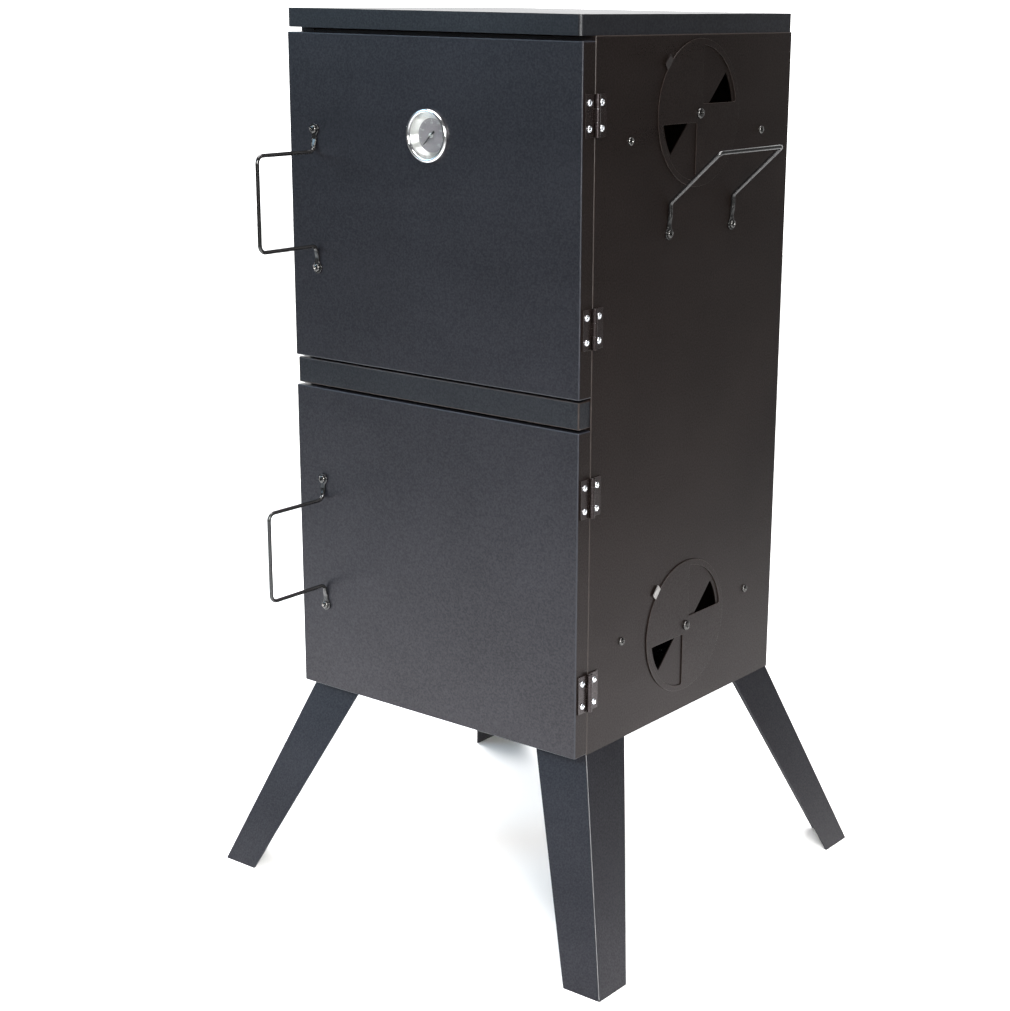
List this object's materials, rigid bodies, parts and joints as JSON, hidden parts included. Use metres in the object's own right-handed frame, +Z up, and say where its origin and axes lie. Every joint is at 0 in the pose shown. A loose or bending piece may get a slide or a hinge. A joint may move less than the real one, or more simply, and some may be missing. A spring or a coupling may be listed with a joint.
{
  "type": "electric cabinet smoker",
  "caption": "Tall black sheet-steel smoking cabinet on splayed legs, with hinged doors, bow handles, rotary air dampers and a dial thermometer.",
  "frame": {"origin": "on the floor, at the centre of the whole outline seen from above", "axes": "+Z up, the doors face -Y, the hinges and dampers are on +X"},
  "size_m": [0.5648, 0.5496, 1],
  "materials": {
    "cabinet_paint": "satin black powder coat",
    "leg_paint": "satin black powder coat",
    "door_paint": "satin charcoal powder coat",
    "damper_paint": "satin black powder coat, worn on the tab",
    "handle_paint": "semi-gloss black paint",
    "hinge_paint": "semi-gloss black paint",
    "dark_bolt": "blackened steel with worn edges",
    "zinc_steel": "bright zinc plate",
    "bracket_steel": "plain galvanised steel",
    "grate_wire": "nickel plated wire",
    "pan_enamel": "black speckled enamel",
    "element_sheath": "heat-darkened sheath",
    "gland_plastic": "moulded nylon",
    "magnet_plastic": "brown moulded housing",
    "bezel_steel": "polished stainless steel",
    "dial_face": "satin printed face",
    "dial_glass": "clear",
    "stem_steel": "stainless steel",
    "pointer_paint": "matt black"
  },
  "bodies": {
    "cabinet": {"side_panel_right": "cabinet_paint", "side_panel_left": "cabinet_paint", "rear_panel": "cabinet_paint", "floor_panel": "cabinet_paint", "front_header": "cabinet_paint", "mid_rail": "cabinet_paint", "top_cap": "cabinet_paint", "cap_liner": "cabinet_paint", "leg_front_right": "leg_paint", "leg_front_left": "leg_paint", "leg_rear_right": "leg_paint", "leg_rear_left": "leg_paint", "leg_bolts": "dark_bolt", "carry_handle_right": "handle_paint", "carry_handle_left": "handle_paint", "carry_handle_bolts": "dark_bolt", "rack_ladder_right": "bracket_steel", "rack_ladder_left": "bracket_steel", "rack_bolts": "dark_bolt", "grate_upper": "grate_wire", "grate_middle": "grate_wire", "grate_lower": "grate_wire", "water_pan": "pan_enamel", "chip_tray": "pan_enamel", "drip_tray": "pan_enamel", "heating_element": "element_sheath", "element_bracket": "bracket_steel", "terminal_box": "cabinet_paint", "cord_gland": "gland_plastic", "damper_pivot_bolts": "dark_bolt", "cabinet_hinge_leaves": "hinge_paint", "cabinet_hinge_screws": "zinc_steel", "hinge_pins": "zinc_steel", "door_magnets": "magnet_plastic"},
    "upper_door": {"upper_door_panel": "door_paint", "upper_door_handle": "handle_paint", "upper_door_handle_bolts": "dark_bolt", "upper_door_hinge_leaves": "hinge_paint", "upper_door_hinge_screws": "zinc_steel", "upper_door_strike": "zinc_steel", "thermometer_bezel": "bezel_steel", "thermometer_dial": "dial_face", "thermometer_glass": "dial_glass", "thermometer_stem": "stem_steel", "thermometer_clamp": "zinc_steel"},
    "lower_door": {"lower_door_panel": "door_paint", "lower_door_handle": "handle_paint", "lower_door_handle_bolts": "dark_bolt", "lower_door_hinge_leaves": "hinge_paint", "lower_door_hinge_screws": "zinc_steel", "lower_door_strike": "zinc_steel"},
    "upper_damper_disc": {"upper_damper": "damper_paint"},
    "lower_damper_disc": {"lower_damper": "damper_paint"},
    "pointer": {"thermometer_pointer": "pointer_paint"}
  },
  "joints": [
    {"name": "upper_door_hinge", "type": "hinge", "parent": "cabinet", "child": "upper_door", "pos_m": [0.2034, -0.16507, 0.7985], "axis": [0, 0, 1], "range_deg": [0, 170]},
    {"name": "lower_door_hinge", "type": "hinge", "parent": "cabinet", "child": "lower_door", "pos_m": [0.2034, -0.16507, 0.41], "axis": [0, 0, 1], "range_deg": [0, 170]},
    {"name": "upper_damper_turn", "type": "hinge", "parent": "cabinet", "child": "upper_damper_disc", "pos_m": [0.2009, 0.01843, 0.899], "axis": [1, 0, 0], "continuous": true},
    {"name": "lower_damper_turn", "type": "hinge", "parent": "cabinet", "child": "lower_damper_disc", "pos_m": [0.2009, 0.01843, 0.331], "axis": [1, 0, 0], "continuous": true},
    {"name": "pointer_turn", "type": "hinge", "parent": "upper_door", "child": "pointer", "pos_m": [0, -0.18058, 0.875], "axis": [0, 1, 0], "range_deg": [0, 270]}
  ]
}
